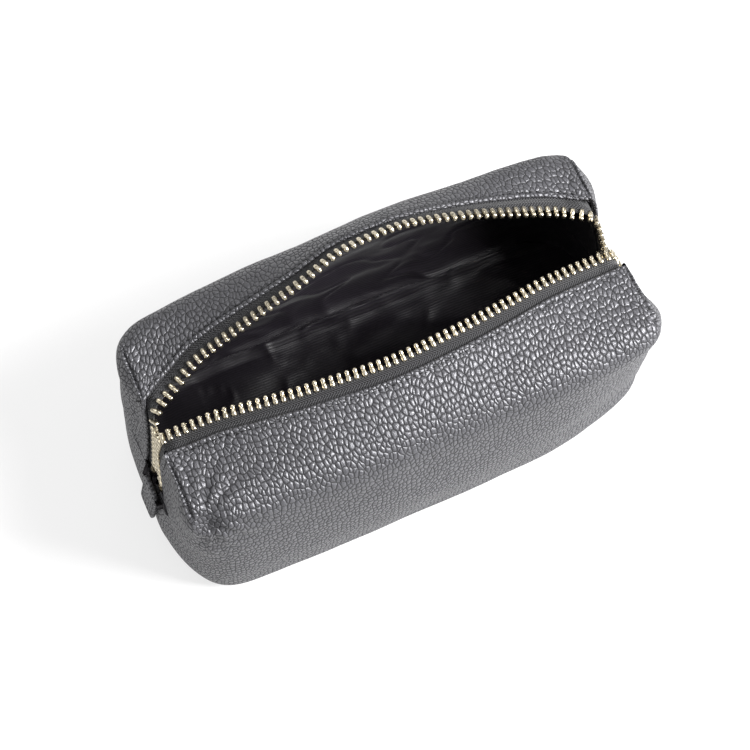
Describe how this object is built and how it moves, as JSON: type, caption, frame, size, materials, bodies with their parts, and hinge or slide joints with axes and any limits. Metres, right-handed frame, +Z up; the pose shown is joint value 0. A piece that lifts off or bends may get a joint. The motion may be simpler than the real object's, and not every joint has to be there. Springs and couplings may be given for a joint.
{
  "type": "travel organizer bag",
  "caption": "Black leather travel wash bag with a long metal zip over the top and down both ends, standing with its mouth open.",
  "frame": {"origin": "on the floor, under the middle of the bag's body", "axes": "+X along the zip towards the slider's end, +Y towards the back wall, +Z up"},
  "size_m": [0.257, 0.1276, 0.1241],
  "materials": {
    "leather": "pebbled, semi-matt",
    "interlining": "felted",
    "lining": "fine stripe weave",
    "label_leather": "smooth, glossy",
    "zip_tape": "herringbone weave",
    "zip_metal": "polished pale nickel",
    "slider_metal": "polished pale nickel"
  },
  "bodies": {
    "bag": {"front_panel": "leather", "back_panel": "leather", "left_end_panel": "leather", "right_end_panel": "leather", "base_panel": "leather", "left_zip_tab": "leather", "front_interlining": "interlining", "back_interlining": "interlining", "base_board": "interlining", "lining_front": "lining", "lining_back": "lining", "lining_base": "lining", "lining_left_end": "lining", "lining_right_end": "lining", "lining_label": "label_leather", "zipper_tape_front": "zip_tape", "zipper_tape_back": "zip_tape", "zipper_teeth_front": "zip_metal", "zipper_teeth_back": "zip_metal", "zipper_teeth_run": "zip_metal", "top_stop_front": "zip_metal", "top_stop_back": "zip_metal", "bottom_stop": "zip_metal"},
    "slider": {"slider_body": "slider_metal", "pull_pin": "slider_metal"},
    "pull": {"pull_tab": "slider_metal"}
  },
  "joints": [
    {"name": "slider_slide", "type": "slide", "parent": "bag", "child": "slider", "axis": [-0.1406, 0, 0.9901], "range_m": [-0.022, 0], "deforming": ["zipper_teeth_run"]},
    {"name": "pull_hinge", "type": "hinge", "parent": "slider", "child": "pull", "pos_m": [0.12361, 0.0035, 0.05967], "axis": [0, -1, 0], "range_deg": [0, 170]}
  ]
}
